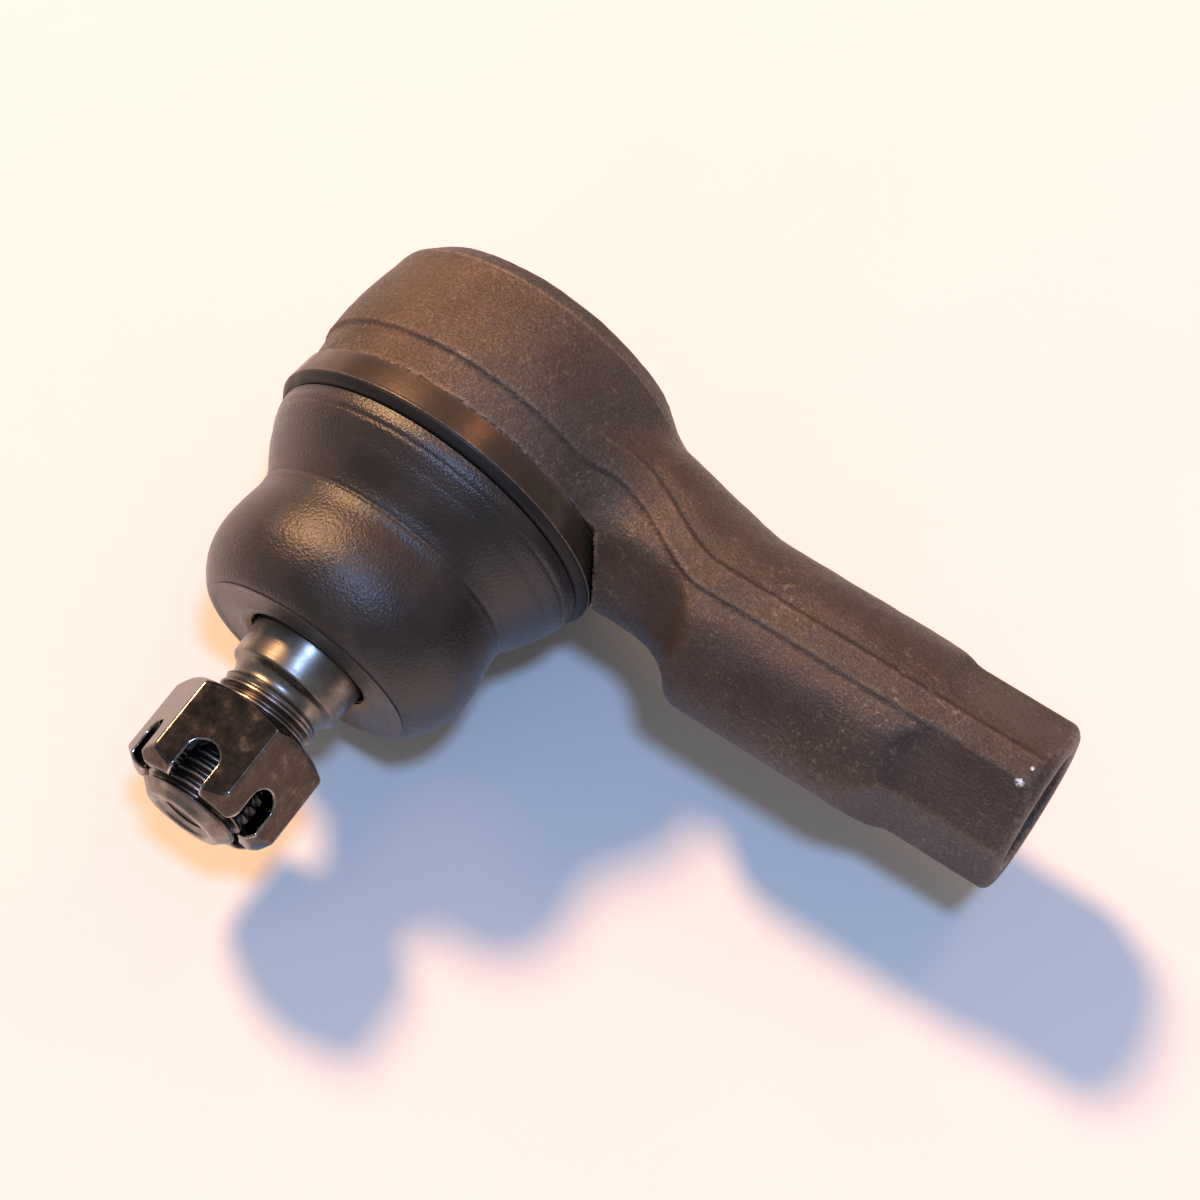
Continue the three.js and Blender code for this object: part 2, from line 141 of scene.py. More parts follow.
TAPER_START_Y, TAPER_END_Y = -15.5, -33.9
TAPER_RADIUS, TAPER_SLOPE = 8.0, 1 / 16
STUD_NECK_RADIUS = 5.5
RELIEF_RADIUS = 5.6
THREAD_START_Y = -36.4
THREAD_RADIUS, THREAD_ROOT, THREAD_PITCH = 5.95, 5.25, 1.25
STUD_END_RADIUS, CUP_RADIUS, CUP_DEPTH = 4.6, 3.6, 0.9
COTTER_RADIUS, COTTER_Y = 1.6, -47.3
NUT_ACROSS_FLATS = 17.0
NUT_BORE_RADIUS = THREAD_RADIUS + 0.35
NUT_TURN = math.radians(-3.5)
NUT_THREAD_DEPTH = 0.35
FREE_CHAMFER_RADIUS, FREE_CHAMFER_RISE = 7.75, 1.35
SEAT_CHAMFER_RADIUS, SEAT_CHAMFER_RISE = 8.35, 1.6
SLOT_WIDTH, SLOT_DEPTH = 3.8, 5.2
WAIST_Y = -16.0


# ---- Mesh tools -----------------------------------------------------------------------------

def make_object(name, points, faces, material, body, node, crease=math.radians(35)):
    """A finished piece from points in millimetres: it rides on body and stands for node."""
    mesh = bpy.data.meshes.new(name)
    placed = (np.asarray(points, float) - [0, PLUG_FACE_Y, 0]) * MM
    mesh.from_pydata(placed.tolist(), [], [list(face) for face in faces])
    mesh.validate()
    mesh.materials.append(material)
    mesh.polygons.foreach_set("use_smooth", [True] * len(mesh.polygons))
    mesh.set_sharp_from_angle(angle=crease)
    mark_edges(mesh)
    piece = bpy.data.objects.new(name, mesh)
    bpy.context.scene.collection.objects.link(piece)
    if body:
        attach(piece, body)
    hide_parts(node)
    return piece


def mark_edges(mesh):
    """Stores how sharply each point's surroundings bend, per millimetre: outwards is positive."""
    count = len(mesh.vertices)
    places, normals = np.empty(3 * count), np.empty(3 * count)
    mesh.vertices.foreach_get("co", places)
    mesh.vertices.foreach_get("normal", normals)
    places, normals = places.reshape(-1, 3) / MM, normals.reshape(-1, 3)
    ends = np.empty(2 * len(mesh.edges), int)
    mesh.edges.foreach_get("vertices", ends)
    first, second = ends.reshape(-1, 2).T
    apart = places[second] - places[first]
    turn = ((normals[second] - normals[first]) * apart).sum(1)
    bend = turn / np.maximum((apart ** 2).sum(1), 1e-4)
    links = np.maximum(np.bincount(ends, minlength=count), 1)
    at_points = (np.bincount(first, bend, count) + np.bincount(second, bend, count)) / links
    around = np.bincount(first, at_points[second], count)
    around = around + np.bincount(second, at_points[first], count)
    layer = mesh.attributes.new("edge_bend", "FLOAT", "POINT")
    layer.data.foreach_set("value", 0.5 * (at_points + around / links))


def smoothstep(low, high, value):
    """Rises smoothly from 0 to 1 as a value goes from low to high."""
    t = np.clip((value - low) / (high - low), 0, 1)
    return t * t * (3 - 2 * t)


def soft_max(a, b, width):
    """The larger of two fields, with the corner between them rounded over width."""
    t = np.clip(0.5 + 0.5 * (a - b) / width, 0, 1)
    return b * (1 - t) + a * t + width * t * (1 - t)


def soft_min(a, b, width):
    """The smaller of two fields, with the corner between them filled over width."""
    return -soft_max(-a, -b, width)


def tooth(turn):
    """A thread's form: falls from 1 to 0 and rises again once a turn."""
    return np.abs(2 * (turn - np.floor(turn)) - 1)


def unevenness(x, y, z, wavelength, seed, waves=14):
    """A smooth wandering field between about -1 and 1."""
    random = np.random.default_rng(seed)
    total = np.zeros_like(x)
    for _ in range(waves):
        direction = random.normal(size=3)
        direction *= TAU / wavelength / np.linalg.norm(direction) * random.uniform(0.7, 1.4)
        phase = random.uniform(0, TAU)
        total += np.sin(direction[0] * x + direction[1] * y + direction[2] * z + phase)
    return total / math.sqrt(waves)


def surface_of(field, low, high, step):
    """The zero surface of a field as points and four-sided faces, with one point in each cell."""
    axes = [np.arange(low[i] - 2 * step, high[i] + 2.5 * step, step) for i in range(3)]
    grid = np.meshgrid(*axes, indexing="ij")
    values = field(*grid)
    inside = values < 0
    corners = np.array([[i, j, k] for i in (0, 1) for j in (0, 1) for k in (0, 1)])
    shape = np.array(values.shape) - 1
    views = [inside[i:i + shape[0], j:j + shape[1], k:k + shape[2]] for i, j, k in corners]
    filled = sum(view.astype(np.int8) for view in views)
    cells = np.argwhere((filled > 0) & (filled < 8))
    number = np.full(shape, -1, np.int64)
    number[tuple(cells.T)] = np.arange(len(cells))
    total = np.zeros((len(cells), 3))
    count = np.zeros(len(cells))
    for a in range(8):
        for b in range(a + 1, 8):
            if np.abs(corners[a] - corners[b]).sum() != 1:
                continue
            first = values[tuple((cells + corners[a]).T)]
            second = values[tuple((cells + corners[b]).T)]
            crossed = (first < 0) != (second < 0)
            share = np.where(crossed, first / np.where(crossed, first - second, 1), 0)
            at = corners[a] + (corners[b] - corners[a]) * share[:, None]
            total += at * crossed[:, None]
            count += crossed
    origin = np.array([axis[0] for axis in axes])
    points = origin + (cells + total / count[:, None]) * step
    faces = []
    for axis in range(3):
        u, v = (axis + 1) % 3, (axis + 2) % 3
        ahead = np.roll(inside, -1, axis)
        edges = np.argwhere(inside != ahead)
        edges = edges[(edges[:, axis] < shape[axis]) & (edges[:, u] > 0) & (edges[:, v] > 0)
                      & (edges[:, u] < shape[u]) & (edges[:, v] < shape[v])]
        ring = []
        for back_u, back_v in ((1, 1), (0, 1), (0, 0), (1, 0)):
            cell = edges.copy()
            cell[:, u] -= back_u
            cell[:, v] -= back_v
            ring.append(number[tuple(cell.T)])
        quads = np.stack(ring, 1)
        leaving = inside[tuple(edges.T)]
        faces.append(np.where(leaving[:, None], quads, quads[:, ::-1]))
    return settle(field, points, step), np.concatenate(faces)


def settle(field, points, step):
    """Moves points straight onto the zero surface, each by no more than half a cell."""
    nudge = 0.2 * step
    x, y, z = points.T
    value = field(x, y, z)
    slope = np.stack([
        field(x + nudge, y, z) - field(x - nudge, y, z),
        field(x, y + nudge, z) - field(x, y - nudge, z),
        field(x, y, z + nudge) - field(x, y, z - nudge),
    ], 1) / (2 * nudge)
    steep = np.maximum((slope ** 2).sum(1), 0.2)
    move = -slope * (value / steep)[:, None]
    length = np.linalg.norm(move, axis=1, keepdims=True)
    return points + move * np.minimum(1, 0.5 * step / np.maximum(length, 1e-9))


def rounded(profile, steps=5):
    """A (radius, y, rounding) outline with each corner replaced by a short curve."""
    outline = []
    count = len(profile)
    for i, (radius, y, rounding) in enumerate(profile):
        here = np.array([radius, y], float)
        if rounding <= 0:
            outline.append(tuple(here))
            continue
        before = np.array(profile[(i - 1) % count][:2], float) - here
        after = np.array(profile[(i + 1) % count][:2], float) - here
        reach = min(rounding, 0.48 * np.linalg.norm(before), 0.48 * np.linalg.norm(after))
        start = here + before / np.linalg.norm(before) * reach
        end = here + after / np.linalg.norm(after) * reach
        for t in np.linspace(0, 1, steps):
            outline.append(tuple((1 - t) ** 2 * start + 2 * t * (1 - t) * here + t * t * end))
    return outline


def turned(outline, segments, closed=True, shift=None):
    """Points and faces of a (radius, y) outline turned about the stud's axis.

    An outline that isn't closed starts and ends on the axis. shift(angle, radius, y) may move
    each point's radius and y.
    """
    rows = np.array(outline, float)
    if not closed:
        rows = rows[1:-1]
    angles = np.arange(segments) * TAU / segments
    radius = np.repeat(rows[:, :1], segments, 1)
    height = np.repeat(rows[:, 1:], segments, 1)
    angle = np.repeat(angles[None, :], len(rows), 0)
    if shift:
        radius, height = shift(angle, radius, height)
    points = np.stack([radius * np.cos(angle), height, radius * np.sin(angle)], -1).reshape(-1, 3)
    index = np.arange(len(points)).reshape(len(rows), segments)
    wrapped = np.roll(index, -1, 1)
    above, above_next = np.roll(index, -1, 0), np.roll(wrapped, -1, 0)
    rings = slice(None) if closed else slice(0, -1)
    faces = np.stack([index[rings], above[rings], above_next[rings], wrapped[rings]], -1)
    faces = faces.reshape(-1, 4).tolist()
    if not closed:
        first, last = len(points), len(points) + 1
        points = np.vstack([points, [0, outline[0][1], 0], [0, outline[-1][1], 0]])
        faces += [[first, index[0, j], wrapped[0, j]] for j in range(segments)]
        faces += [[last, wrapped[-1, j], index[-1, j]] for j in range(segments)]
    if signed_volume(points, faces) < 0:
        faces = [face[::-1] for face in faces]
    return points, faces


def signed_volume(points, faces):
    """The volume inside the faces, below zero where they point inwards."""
    total = 0.0
    for size in (3, 4):
        chosen = np.array([face for face in faces if len(face) == size])
        if not len(chosen):
            continue
        for i in range(1, size - 1):
            a, b, c = (points[chosen[:, j]] for j in (0, i, i + 1))
            total += float((a * np.cross(b, c)).sum()) / 6
    return total


def curve_through(keys, count):
    """A smooth run of points through (radius, y) keys, even along its length."""
    keys = np.array(keys, float)
    padded = np.vstack([2 * keys[0] - keys[1], keys, 2 * keys[-1] - keys[-2]])
    fine = []
    for i in range(len(keys) - 1):
        p0, p1, p2, p3 = padded[i:i + 4]
        for t in np.linspace(0, 1, 40, endpoint=False):
            fine.append(0.5 * (2 * p1 + (p2 - p0) * t + (2 * p0 - 5 * p1 + 4 * p2 - p3) * t ** 2
                               + (3 * p1 - p0 - 3 * p2 + p3) * t ** 3))
    fine.append(keys[-1])
    fine = np.array(fine)
    along = np.concatenate([[0], np.cumsum(np.linalg.norm(np.diff(fine, axis=0), axis=1))])
    wanted = np.linspace(0, along[-1], count)
    return [(np.interp(s, along, fine[:, 0]), np.interp(s, along, fine[:, 1])) for s in wanted]


# ---- Materials ------------------------------------------------------------------------------

class Finish:
    """A small builder for one procedural material in the piece's own coordinates."""

    def __init__(self, name):
        self.material = bpy.data.materials.new(name)
        self.material.use_nodes = True
        self.tree = self.material.node_tree
        self.shader = self.tree.nodes["Principled BSDF"]
        self.place = self.tree.nodes.new("ShaderNodeTexCoord").outputs["Object"]

    def set(self, **values):
        for socket, value in values.items():
            self.shader.inputs[socket.replace("_", " ")].default_value = value

    def link(self, output, node, socket):
        self.tree.links.new(output, node.inputs[socket])

    def noise(self, size_mm, detail=4, roughness=0.55, stretch=(1, 1, 1)):
        mapping = self.tree.nodes.new("ShaderNodeMapping")
        mapping.inputs["Scale"].default_value = [s / (size_mm * MM) for s in stretch]
        self.link(self.place, mapping, "Vector")
        node = self.tree.nodes.new("ShaderNodeTexNoise")
        node.inputs["Scale"].default_value = 1
        node.inputs["Detail"].default_value = detail
        node.inputs["Roughness"].default_value = roughness
        self.link(mapping.outputs["Vector"], node, "Vector")
        return node.outputs["Fac"]

    def cells(self, size_mm, feature="F1", smooth=0.3):
        mapping = self.tree.nodes.new("ShaderNodeMapping")
        mapping.inputs["Scale"].default_value = [1 / (size_mm * MM)] * 3
        self.link(self.place, mapping, "Vector")
        node = self.tree.nodes.new("ShaderNodeTexVoronoi")
        node.feature = feature
        node.inputs["Scale"].default_value = 1
        if feature == "SMOOTH_F1":
            node.inputs["Smoothness"].default_value = smooth
        self.link(mapping.outputs["Vector"], node, "Vector")
        return node.outputs["Distance"]

    def ramp(self, value, stops):
        node = self.tree.nodes.new("ShaderNodeValToRGB")
        elements = node.color_ramp.elements
        while len(elements) < len(stops):
            elements.new(0.5)
        for element, (position, colour) in zip(elements, stops):
            element.position = position
            element.color = (*colour, 1) if len(colour) == 3 else colour
        self.link(value, node, "Fac")
        return node.outputs["Color"]

    def map(self, value, from_low, from_high, to_low, to_high):
        node = self.tree.nodes.new("ShaderNodeMapRange")
        for socket, number in (("From Min", from_low), ("From Max", from_high),
                               ("To Min", to_low), ("To Max", to_high)):
            node.inputs[socket].default_value = number
        self.link(value, node, "Value")
        return node.outputs["Result"]

    def math(self, operation, a, b):
        node = self.tree.nodes.new("ShaderNodeMath")
        node.operation = operation
        for index, value in enumerate((a, b)):
            if isinstance(value, (int, float)):
                node.inputs[index].default_value = value
            else:
                self.tree.links.new(value, node.inputs[index])
        return node.outputs["Value"]

    def mix(self, factor, a, b, blend="MIX"):
        node = self.tree.nodes.new("ShaderNodeMix")
        node.data_type = "RGBA"
        node.blend_type = blend
        for socket, value in ((node.inputs[0], factor), (node.inputs[6], a), (node.inputs[7], b)):
            if isinstance(value, (int, float)):
                socket.default_value = value
            elif isinstance(value, tuple):
                socket.default_value = (*value, 1)
            else:
                self.tree.links.new(value, socket)
        return node.outputs[2]

    def bump(self, height, distance_mm, strength=1.0, under=None):
        node = self.tree.nodes.new("ShaderNodeBump")
        node.inputs["Distance"].default_value = distance_mm * MM
        node.inputs["Strength"].default_value = strength
        self.link(height, node, "Height")
        if under is not None:
            self.link(under, node, "Normal")
        return node.outputs["Normal"]

    def edge(self, low, high):
        """Rises from 0 to 1 as the surface bends from low to high, per millimetre."""
        node = self.tree.nodes.new("ShaderNodeAttribute")
        node.attribute_name = "edge_bend"
        return self.map(node.outputs["Fac"], low, high, 0, 1)

    def along(self, axis, low, high):
        """Rises from 0 to 1 as the place along an axis goes from low to high millimetres."""
        node = self.tree.nodes.new("ShaderNodeSeparateXYZ")
        self.link(self.place, node, "Vector")
        shift = PLUG_FACE_Y if axis == "Y" else 0
        return self.map(node.outputs[axis], (low - shift) * MM, (high - shift) * MM, 0, 1)

    def spot(self, place, radius):
        """1 at a place, falling to 0 at radius millimetres from it."""
        x, y, z = place
        node = self.tree.nodes.new("ShaderNodeVectorMath")
        node.operation = "DISTANCE"
        node.inputs[1].default_value = (x * MM, (y - PLUG_FACE_Y) * MM, z * MM)
        self.link(self.place, node, 0)
        return self.map(node.outputs["Value"], 0.3 * radius * MM, radius * MM, 1, 0)

    def finish(self, colour, roughness, normal):
        self.link(colour, self.shader, "Base Color")
        self.link(roughness, self.shader, "Roughness")
        self.link(normal, self.shader, "Normal")
        return self.material


def forged_steel():
    f = Finish("forged_steel")
    f.set(IOR=1.5)
    scale = f.noise(0.27, detail=5, roughness=0.7)
    patches = f.noise(7, detail=3)
    specks = f.noise(0.42, detail=2, roughness=0.5)
    base = f.ramp(patches, [(0.3, (0.080, 0.058, 0.044)), (0.55, (0.104, 0.079, 0.061)),
                            (0.75, (0.124, 0.086, 0.058))])
    grain = f.ramp(scale, [(0.34, (0.42, 0.41, 0.43)), (0.52, (0.9, 0.88, 0.86)),
                           (0.70, (1.8, 1.7, 1.6))])
    colour = f.mix(0.75, base, grain, "MULTIPLY")
    # Painted shade: concave creases are darkened towards near black.
    crease_shade = f.math("MULTIPLY", f.edge(-0.15, -0.9), 0.8)
    colour = f.mix(crease_shade, colour, (0.022, 0.018, 0.017))
    # Painted shade: from the neck on, the shank is multiplied by a cooler, darker tint that stands in for
    # its light.
    shank = f.map(f.along("X", 14, 44), 0, 1, 0, 0.75)
    colour = f.mix(shank, colour, (0.66, 0.74, 0.90), "MULTIPLY")
    # Painted shade: the crimped band at the back edge is darkened.
    crimp_band_shade = f.math("MULTIPLY", f.along("Y", CRIMP_LINE_Y, CRIMP_LINE_Y + 0.3), 0.6)
    colour = f.mix(crimp_band_shade, colour, (0.022, 0.014, 0.011))
    scuffs = f.map(f.noise(0.7, detail=5, roughness=0.7), 0.56, 0.66, 0, 0.42)
    scuffs = f.math("MULTIPLY", scuffs, f.map(f.noise(9, detail=2), 0.42, 0.62, 0, 1))
    colour = f.mix(scuffs, colour, (0.34, 0.28, 0.21))
    # Lighter outward edges: edge wear, and also a painted highlight on the sharp edges. Just below the
    # crimp edge a painted highlight line is added.
    worn = f.math("MULTIPLY", f.edge(0.15, 0.6), f.map(specks, 0.35, 0.6, 0.04, 0.3))
    crimp_highlight_start = f.along("Y", CRIMP_LINE_Y - 0.45, CRIMP_LINE_Y - 0.2)
    crimp_highlight = f.math("SUBTRACT", crimp_highlight_start, f.along("Y", CRIMP_LINE_Y - 0.05, CRIMP_LINE_Y + 0.1))
    worn = f.math("MAXIMUM", worn, f.math("MULTIPLY", crimp_highlight, f.map(specks, 0.35, 0.6, 0.1, 0.4)))
    colour = f.mix(worn, colour, (0.36, 0.29, 0.23))
    # Nicks of bare metal; their bluish white colour is partly a painted glint.
    nicks_with_glint = f.math("MAXIMUM", *(f.spot(place, radius) for place, radius in NICKS))
    nicks_with_glint = f.math("MULTIPLY", nicks_with_glint, f.map(f.noise(0.5, detail=2), 0.42, 0.5, 0, 1))
    colour = f.mix(nicks_with_glint, colour, (0.90, 0.95, 1.0))
    f.link(f.map(scale, 0.3, 0.7, 0.35, 0.65), f.shader, "Metallic")
    rough = f.math("ADD", f.map(scale, 0.3, 0.7, 0.34, 0.0), f.map(specks, 0.45, 0.68, 0.32, 0.24))
    rough = f.math("SUBTRACT", rough, f.math("MULTIPLY", f.math("MAXIMUM", nicks_with_glint, scuffs), 0.25))
    coarse = f.bump(f.noise(1.3, detail=3), 0.10, 0.5)
    pitted = f.bump(f.cells(0.9), 0.08, 0.3, coarse)
    speckled = f.bump(specks, 0.12, 0.5, pitted)
    return f.finish(colour, rough, f.bump(scale, 0.12, 0.9, speckled))


def plug_steel():
    f = Finish("plug_steel")
    f.set(Metallic=0.8)
    grain = f.noise(0.5, detail=3)
    stains = f.noise(5, detail=4, roughness=0.6)
    base = f.ramp(stains, [(0.3, (0.11, 0.095, 0.08)), (0.6, (0.20, 0.18, 0.155)),
                           (0.8, (0.27, 0.235, 0.19))])
    shades = f.ramp(grain, [(0.3, (0.6, 0.6, 0.6)), (0.7, (1.25, 1.22, 1.2))])
    colour = f.mix(0.5, base, shades, "MULTIPLY")
    colour = f.mix(f.math("MULTIPLY", f.edge(0.25, 0.9), 0.5), colour, (0.5, 0.46, 0.42))
    rough = f.map(stains, 0.3, 0.7, 0.5, 0.3)
    dents = f.bump(f.noise(2.5, detail=2), 0.08, 0.4)
    return f.finish(colour, rough, f.bump(grain, 0.03, 0.5, dents))


def ring_finish():
    f = Finish("ring_finish")
    f.set(Metallic=0.45)
    cloud = f.noise(4, detail=3)
    fine = f.noise(0.35, detail=3)
    base = f.ramp(cloud, [(0.35, (0.052, 0.038, 0.028)), (0.7, (0.078, 0.055, 0.038))])
    shades = f.ramp(fine, [(0.3, (0.6, 0.6, 0.6)), (0.7, (1.3, 1.3, 1.3))])
    colour = f.mix(0.35, base, shades, "MULTIPLY")
    # Painted shade: the ring's band facing down towards the boot is painted near black.
    under = f.along("Y", -5.85, -6.05)
    colour = f.mix(under, colour, (0.016, 0.015, 0.016))
    worn = f.math("MULTIPLY", f.edge(1.2, 3.0), f.map(fine, 0.35, 0.6, 0.1, 0.6))
    colour = f.mix(worn, colour, (0.30, 0.24, 0.19))
    rough = f.math("ADD", f.map(cloud, 0.3, 0.7, 0.38, 0.24), f.math("MULTIPLY", under, 0.16))
    waves = f.bump(f.noise(3, detail=1), 0.06, 0.3)
    return f.finish(colour, rough, f.bump(fine, 0.02, 0.5, waves))


def boot_rubber():
    f = Finish("boot_rubber")
    f.set(Metallic=0.0, Specular_IOR_Level=0.6, Sheen_Weight=0.06, Sheen_Roughness=0.5)
    leather = f.cells(0.34, "SMOOTH_F1", 0.4)
    fine = f.noise(0.2, detail=4, roughness=0.65)
    dust = f.noise(6, detail=4, roughness=0.6)
    base = f.ramp(dust, [(0.32, (0.016, 0.013, 0.012)), (0.62, (0.028, 0.021, 0.018)),
                         (0.80, (0.050, 0.036, 0.028))])
    shades = f.ramp(fine, [(0.3, (0.6, 0.6, 0.6)), (0.7, (1.4, 1.35, 1.3))])
    colour = f.mix(0.4, base, shades, "MULTIPLY")
    colour = f.mix(f.math("MULTIPLY", f.edge(0.5, 2.5), 0.25), colour, (0.12, 0.10, 0.09))
    rough = f.math("ADD", f.map(dust, 0.3, 0.75, 0.27, 0.41), f.map(fine, 0.3, 0.7, 0.06, -0.06))
    rough = f.math("SUBTRACT", rough, f.math("MULTIPLY", f.along("Y", -11.0, -8.6), 0.07))
    creases = f.bump(leather, 0.09, 0.45)
    return f.finish(colour, rough, f.bump(fine, 0.06, 0.8, creases))


def machined_steel():
    f = Finish("machined_steel")
    f.set(Metallic=1.0)
    marks = f.noise(0.16, detail=2, stretch=(0.05, 1, 0.05))
    smears = f.noise(2.5, detail=4, roughness=0.6)
    base = f.ramp(smears, [(0.3, (0.15, 0.13, 0.115)), (0.55, (0.25, 0.225, 0.20)),
                           (0.8, (0.40, 0.365, 0.33))])
    shades = f.ramp(marks, [(0.3, (0.7, 0.7, 0.7)), (0.7, (1.2, 1.2, 1.2))])
    colour = f.mix(0.35, base, shades, "MULTIPLY")
    # Painted shade: concave corners of the stud are darkened.
    colour = f.mix(f.math("MULTIPLY", f.edge(-0.4, -2.5), 0.7), colour, (0.05, 0.04, 0.035))
    rough = f.map(smears, 0.3, 0.7, 0.38, 0.26)
    return f.finish(colour, rough, f.bump(marks, 0.012, 0.6))


def nut_finish():
    f = Finish("nut_finish")
    f.set(Metallic=1.0)
    smears = f.noise(1.8, detail=5, roughness=0.65)
    streaks = f.noise(0.25, detail=3, stretch=(1, 0.12, 1))
    base = f.ramp(smears, [(0.3, (0.052, 0.042, 0.038)), (0.58, (0.090, 0.070, 0.059)),
                           (0.76, (0.20, 0.165, 0.14))])
    shades = f.ramp(streaks, [(0.3, (0.6, 0.6, 0.6)), (0.72, (1.6, 1.55, 1.5))])
    colour = f.mix(0.4, base, shades, "MULTIPLY")
    worn = f.math("MULTIPLY", f.edge(0.7, 2.2), f.map(smears, 0.3, 0.6, 0.35, 0.95))
    colour = f.mix(worn, colour, (0.62, 0.58, 0.53))
    rough = f.math("SUBTRACT", f.map(smears, 0.3, 0.7, 0.13, 0.22), f.math("MULTIPLY", worn, 0.06))
    return f.finish(colour, rough, f.bump(streaks, 0.01, 0.35))


def spring_finish():
    f = Finish("spring_finish")
    f.set(Metallic=0.9)
    cloud = f.noise(2, detail=3)
    base = f.ramp(cloud, [(0.3, (0.07, 0.07, 0.08)), (0.7, (0.14, 0.13, 0.12))])
    return f.finish(base, f.map(cloud, 0.3, 0.7, 0.45, 0.3), f.bump(f.noise(0.3), 0.02, 0.5))


def seal_finish():
    f = Finish("seal_finish")
    cloud = f.noise(1.5, detail=3)
    base = f.ramp(cloud, [(0.3, (0.012, 0.012, 0.012)), (0.7, (0.028, 0.026, 0.025))])
    return f.finish(base, f.map(cloud, 0.3, 0.7, 0.5, 0.65), f.bump(f.noise(0.3), 0.02, 0.5))


def seat_finish():
    f = Finish("seat_finish")
    f.set(Subsurface_Weight=0.05)
    cloud = f.noise(3, detail=3)
    base = f.ramp(cloud, [(0.3, (0.66, 0.62, 0.52)), (0.7, (0.76, 0.73, 0.64))])
    return f.finish(base, f.map(cloud, 0.3, 0.7, 0.4, 0.55), f.bump(f.noise(0.5), 0.02, 0.4))


# ---- Housing --------------------------------------------------------------------------------

def head_field(radius, y):
    """The round head: drafted sides either side of the flash, and a crimped back edge."""
    below = HEAD_RADIUS - HEAD_FRONT_STEP + (y - SEAT_FACE_Y) / HEAD_FRONT_DRAFT
    above = HEAD_RADIUS - HEAD_BACK_DRAFT * np.maximum(0, y - HEAD_FLASH_Y - FLASH_HALF)
    side = radius - np.where(y < HEAD_FLASH_Y - FLASH_HALF, np.minimum(below, HEAD_RADIUS), above)
    outwards, back = CRIMP_FACING
    crimp = outwards * (radius - HEAD_RADIUS + CRIMP_INSET) + back * (y - CRIMP_LINE_Y)
    head = soft_max(side, crimp, 0.16)
    head = soft_max(head, y - RIM_Y, 0.35)
    return soft_max(head, SEAT_FACE_Y - y, 0.08)


def flash_height(x):
    """The middle of the flash band, which dips from the head to the shank."""
    rise = HEAD_FLASH_Y + (NECK_FLASH_Y - HEAD_FLASH_Y) * smoothstep(NECK_START_X, 19.5, x)
    return rise + (SHANK_FLASH_Y - NECK_FLASH_Y) * smoothstep(19.5, 34, x)


def shank_field(x, y, z):
    """Two half ovals joined by a straight band at the parting line."""
    back = SHANK_RADIUS + NECK_SLOPE * soft_max(0, NECK_END_X - x, 1.5)
    flash = flash_height(x)
    top, bottom = flash + FLASH_HALF, flash - FLASH_HALF
    from_top = np.maximum(y - top, 0)
    from_bottom = np.maximum(bottom - y, 0)
    reach = np.where(y > top, back - top, SHANK_RADIUS + bottom)
    off = from_top + from_bottom
    ratio = np.sqrt((off / reach) ** 2 + (z / SHANK_HALF_WIDTH) ** 2)
    slope = np.sqrt((off / reach ** 2) ** 2 + (z / SHANK_HALF_WIDTH ** 2) ** 2)
    oval = ratio * (ratio - 1) / np.maximum(slope, 1e-6)
    return soft_max(oval, NECK_START_X - NECK_OVERLAP - x, 0.8)


def scoop_field(x, y, z):
    """The hollow forged out in front of the neck: negative inside it."""
    across = np.minimum(1, (z / SCOOP_HALF_WIDTH) ** 2)
    depth = SCOOP_EDGE_DEPTH + SCOOP_DEPTH * (1 - across)
    slant = np.sqrt(1 + np.where(across < 1, across, 0))
    floor = (y + depth) / slant
    centre_y = -depth - SCOOP_RADIUS
    curve = (np.hypot(x - SCOOP_START_X, y - centre_y) - SCOOP_RADIUS) / slant
    wall = x - SCOOP_START_X - SCOOP_RADIUS
    return np.where(y < centre_y, wall, np.where(x < SCOOP_START_X, floor, curve))


def wrench_field(x, y, z):
    """Six wrench flats at the shank's end, which run out towards the neck."""
    run_out = FLATS_RUN_OUT * soft_max(0, FLATS_FULL_X - x, 1.2)
    extra = run_out + np.maximum(0, FLATS_LIMIT_X - x)
    flat = np.abs(y) - FLAT_FRONT - extra
    slanted = np.abs(y) * math.cos(FLAT_SLANT) + np.abs(z) * math.sin(FLAT_SLANT)
    slanted = slanted - FLAT_SIDE - extra
    return soft_max(flat, slanted, 0.25)


def end_field(x, y, z):
    """The shank's end face, with its corner rounded."""
    reach = END_RADIUS + 0.5 * np.maximum(0, FLATS_FULL_X + 4 - x)
    across = np.hypot(y, z) - reach + END_ROUNDING
    along = x - SHANK_END_X + END_ROUNDING
    corner = np.hypot(np.maximum(across, 0), np.maximum(along, 0))
    return np.minimum(np.maximum(across, along), 0) + corner - END_ROUNDING


def bore_field(x, y, z):
    """The threaded bore in the shank: negative inside it."""
    radius = np.hypot(y, z)
    wave = tooth(x / SHANK_THREAD_PITCH - np.arctan2(z, y) / TAU)
    thread = SHANK_THREAD_MINOR + (SHANK_THREAD_MAJOR - SHANK_THREAD_MINOR) * wave * 0.9
    full_thread_x = THREAD_BORE_END_X + THREAD_RUN_IN
    cut = smoothstep(full_thread_x, full_thread_x + 2, x)
    wall = radius - SHANK_THREAD_MINOR - (thread - SHANK_THREAD_MINOR) * cut
    mouth = radius - THREAD_BORE_MOUTH + (SHANK_END_X - x) * 0.9
    drill = (THREAD_BORE_END_X - x + np.minimum(radius, SHANK_THREAD_MINOR) * DRILL_POINT) * 0.85
    return np.maximum(np.minimum(wall, mouth), drill)


